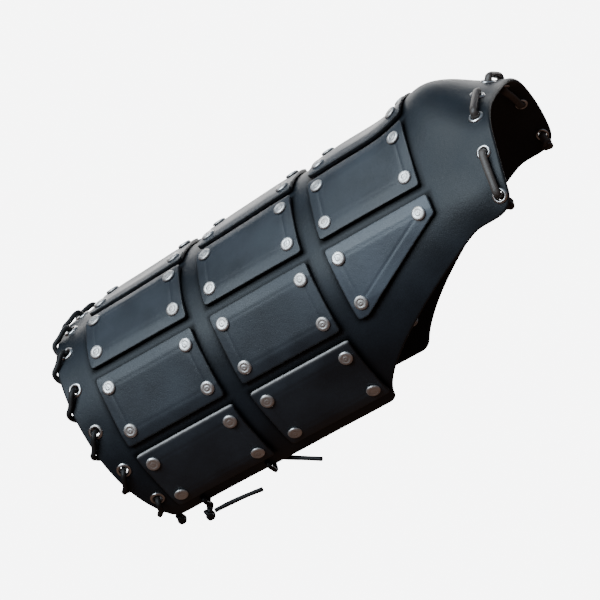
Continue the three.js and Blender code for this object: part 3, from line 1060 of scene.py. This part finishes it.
def roundedPlan(plan, outline, radius):
    # each place in a corner's wedge is drawn towards the corner's centre, until the border
    # there is a circle
    plan = plan.copy()
    distances, side, inwards = toSides(plan, outline)
    toEdge = distances.min(0)
    for i in range(len(outline)):
        before, here = side[i - 1], side[i]
        bend = before[0] * here[1] - before[1] * here[0]
        along = radius * (1 - before @ here) / bend
        centre = outline[i] + inwards[i] * radius + here * along
        away = plan - centre
        wedge = (away @ before > 0) & (away @ here < 0)
        length = np.maximum(np.linalg.norm(away, axis=-1), 1e-9)
        scale = np.clip((radius - toEdge) / length, 0, 1)
        plan = np.where(wedge[..., None], centre + away * scale[..., None], plan)
    return plan, toEdge


def makePlate(one):
    # its top is its thickness over the shell, less the falls, grooves and hollows named in plate
    triangular = one["triangular"]
    plan, toEdge = roundedPlan(platePlan(triangular), outlineOf(triangular), plate["corner"])
    rivets = one["rivets"]
    border = np.clip(1 - toEdge / plate["fallWidth"], 0, 1)
    # the field between the rivet lines lies on the chord that joins them, the bands beside it
    # on the tube
    tube = sleeve["radius"] + plate["gap"] + plate["thickness"]
    angle = np.abs(plan[..., 1]) / sleeve["radius"]
    last = plate["rivetAcross"] / 2 / sleeve["radius"]
    chord = tube * (math.cos(last) / np.cos(np.minimum(angle, last)) - 1)
    line = toLoop(plan, rivets)
    top = plate["gap"] + plate["thickness"] - cornerDrop(toEdge, plate["edge"])
    top = top - plate["fall"] * border + plate["flat"] * chord
    top = top - plate["groove"] * bell(line, plate["grooveWidth"])
    top = top - sunk(plan, rivets, plate["dimple"], plate["dimpleWidth"])
    bottom = plate["gap"] + cornerDrop(toEdge, plate["underEdge"])
    wear = bell(toEdge, plate["wearWidth"]).ravel()
    # only the low plates get the scuff and painted glint, along the side nearest the ridge
    fromUpper = plan[..., 1] + plate["width"] / 2
    scuffGlint = bell(fromUpper, plate["scuffGlintWidth"]).ravel() * one["scuffGlinted"]
    # a triangular plate's lower side faces away from the ridge, so the back one is mirrored
    placed = plan * (1, one["outward"]) + (one["along"], one["around"])
    if one["outward"] < 0:
        placed, top, bottom = placed[:, ::-1], top[:, ::-1], bottom[:, ::-1]
        wear, scuffGlint = (v.reshape(toEdge.shape)[:, ::-1].ravel() for v in (wear, scuffGlint))
    base = worn(placed[..., 0], placed[..., 1])
    points, faces = sheetOf(placed, top + base, bottom + base)
    wear = np.concatenate([wear, np.ones(len(wear))])
    fields = {"wear": wear, "scuffGlint": np.concatenate([scuffGlint, scuffGlint])}
    # the triangular plates take the lighter, painted-light copy of the plate leather
    grain = triangleLitGrain if triangular else plateGrain
    makePiece(one["node"] + "_leather", points, faces, [grain], "plate_leather", [one["node"]],
              fields=fields)


for onePlate in plates:
    makePlate(onePlate)

print("stage: rivets and eyelets")

rivet = {
    "sides": 28,
    "seat": 3.62,
    # half the head's outline, from its rim to its middle: radius, and height over the seat
    "head": [(4.7, -0.05), (4.85, 0.15), (4.85, 0.5), (4.7, 0.85), (4.35, 1.2), (3.9, 1.42),
             (3.3, 1.55), (2.9, 1.54), (2.55, 1.42), (2.2, 1.36), (1.85, 1.42), (1.5, 1.56),
             (1.1, 1.62), (0.6, 1.63), (0.35, 1.52), (0, 1.48)],
    # half the burr's outline, from its middle to the shank: radius, and height over the inner face
    "burr": [(0, -1.9), (1.2, -1.85), (1.9, -1.5), (2.1, -0.8), (3.7, -0.7), (4.0, -0.45),
             (4.0, -0.05), (3.7, 0.1)],
    "shank": 1.9,
    "shankEnds": (0.1, -0.05),  # over the inner face, and over the seat
}


def rivetProfile():
    # the inner burr, the shank, then a low head with a ring pressed into it
    inner, seat = -sleeve["wall"] - shell["rivetSink"], rivet["seat"]
    low, high = rivet["shankEnds"]
    burr = [(radius, inner + height) for radius, height in rivet["burr"]]
    head = [(radius, seat + height) for radius, height in rivet["head"]]
    shank = [(rivet["shank"], inner + low), (rivet["shank"], seat + high)]
    return np.array(burr + shank + head)


def makeRivets(one):
    # the same profile turned about each of a plate's rivet places
    profile = rivetProfile()
    parts = []
    for end, lower in one["rivets"]:
        along, around = one["along"] + end, one["around"] + lower * one["outward"]
        lift = float(worn(along, around))
        parts.append(turnedOn(profile, rivet["sides"], along, around, lift))
    makePiece(one["node"] + "_rivets", *joined(parts), [rivetNickel], "nickel")


for onePlate in plates:
    makeRivets(onePlate)

eyelet = {
    "sides": 32,
    "sink": 0.35,
    # a closed outline of radius and height: the hole's wall, the rolled collar, the barrel and
    # the inner flange
    "outline": [(2.8, -4.0), (2.8, 0.1), (2.95, 0.65), (3.4, 1.05), (4.0, 1.15), (4.7, 0.9),
                (5.15, 0.45), (5.25, 0.0), (5.1, -0.35), (3.35, -0.35), (3.3, -3.05), (4.1, -3.15),
                (4.5, -3.5), (4.4, -3.9), (3.8, -4.3), (3.1, -4.3)],
}


def makeEyelets(places, name):
    # the outline turned about each hole's middle
    for i, (along, around) in enumerate(places):
        lift = float(worn(along, around)) - eyelet["sink"]
        body = turnedOn(eyelet["outline"], eyelet["sides"], along, around, lift, ringed=True)
        node = f"{name}_{i + 1}"
        makePiece(node + "_ring", *body, [eyeletNickel], "nickel", [node])


makeEyelets(tongueHoles, "tongue_eyelet")
makeEyelets(cuffHoles, "cuff_eyelet")

print("stage: laces")

lace = {
    "radius": 1.75,
    "knot": 1.0,  # size of its knots, the radius of their ring is twice this
    "knotLace": 0.85,
    "tongueWide": 1.45,  # the tongue's lace is this much wider than thick
    # round and lift of the points where it goes through one of the tongue's eyelets
    "through": [(-2.6, -7.1), (-0.5, -5.2), (0.5, 1.9), (2.6, 3.9)],
    "between": (3.6, -7.4),  # its lift between two eyelets, outside and inside
    "tongueKnot": (0, 7, -8.0),  # along, round and lift, from the last eyelet
    # outwards, round, lift of the points of one turn over the cuff's edge
    "turn": [(-8.2, -2.6, -7.1), (-8.9, -0.5, -5.2), (-8.8, 0.3, 1.9), (-7.2, 3.2, 4.0),
             (-2.4, 9.8, 2.4), (1.9, 13.6, 0.9), (2.1, 16.4, -3.7), (-1.4, 20.5, -6.4)],
    "cuffKnot": (1, -8, -8.0),  # along, round and lift, from the first eyelet
    "tail": [(0, 0.5, -6), (0.5, 5, -1.5)],  # the same from the cuff's lower front corner
    "tailKnot": 1.1,
    "tailLean": 0.7,
}


def tongueLace():
    # in and out through the eyelets by turns, with two easy points on each stretch
    way = np.array(lace["through"])
    back = way[::-1] * (-1, 1)
    points = []
    for i, (along, around) in enumerate(tongueHoles):
        steps = way if i % 2 == 0 else back
        points.append(onNormal(np.full(4, along), around + steps[:, 0], steps[:, 1]))
        if i + 1 < len(tongueHoles):
            share = np.array([1 / 3, 2 / 3])[:, None]
            between = tongueHoles[i] + (tongueHoles[i + 1] - tongueHoles[i]) * share
            lift = lace["between"][i % 2]
            points.append(onNormal(between[:, 0], between[:, 1], np.full(2, lift)))
    low, high = tongueHoles[0], tongueHoles[-1]
    further, aside, inside = lace["tongueKnot"]
    start = onNormal(low[0] + further, low[1] - aside, inside)
    finish = onNormal(high[0] + further, high[1] + aside, inside)
    route = np.concatenate([[start], *points, [finish]])
    path = evenly(throughPoints(route, 10), 0.9)
    parts = [strand(path, (1, 0, 0), lace["radius"], wide=lace["tongueWide"])]
    for centre, place in ((start, low), (finish, high)):
        x, y, z = standing(*place)
        directions = np.stack([x, y, z])
        parts.append(knotted(centre, lace["knot"], lace["radius"] * lace["knotLace"], directions))
    # the tongue's lace takes the lighter, painted-light copy of the black lace
    makePiece("tongueLace", *joined(parts), [tongueLitLace], "lace_leather", ["tongue_lace"])


def cuffLace():
    # out through an eyelet, over the edge, back inside and on to the next
    turnSteps = np.array(lace["turn"])
    around = cuffHoles[:, 1][:, None] + turnSteps[:, 1]
    along = cuffEdge(around) + turnSteps[:, 0]
    lift = np.broadcast_to(turnSteps[:, 2], around.shape)
    body = onNormal(along, around, lift).reshape(-1, 3)
    first = cuffHoles[0]
    further, aside, inside = lace["cuffKnot"]
    start = onSleeve(first[0] + further, first[1] + aside, inside)
    half = sleeve["halfGirth"]
    corner = float(cuffEdge(half))
    tail = np.array(lace["tail"])
    tail = onSleeve(corner + tail[:, 0], half + tail[:, 1], tail[:, 2])
    route = np.concatenate([[start], body, tail])
    path = evenly(throughPoints(route, 10), 0.8)
    place = np.arctan2(path[:, 1], path[:, 2] + sleeve["radius"])
    across = np.stack([np.zeros(len(path)), np.cos(place), -np.sin(place)], 1)  # round the cuff
    thin = lace["radius"] * lace["knotLace"]
    x, y, z = standing(corner, half)
    parts = [
        strand(path, across, lace["radius"]),
        knotted(start, lace["knot"], thin, np.stack(standing(*first))),
        knotted(tail[-1], lace["knot"] * lace["tailKnot"], thin, np.stack([y, z, x]), lace["tailLean"]),
    ]
    makePiece("cuffLace", *joined(parts), [blackLace], "lace_leather", ["cuff_lace"])


tongueLace()
cuffLace()
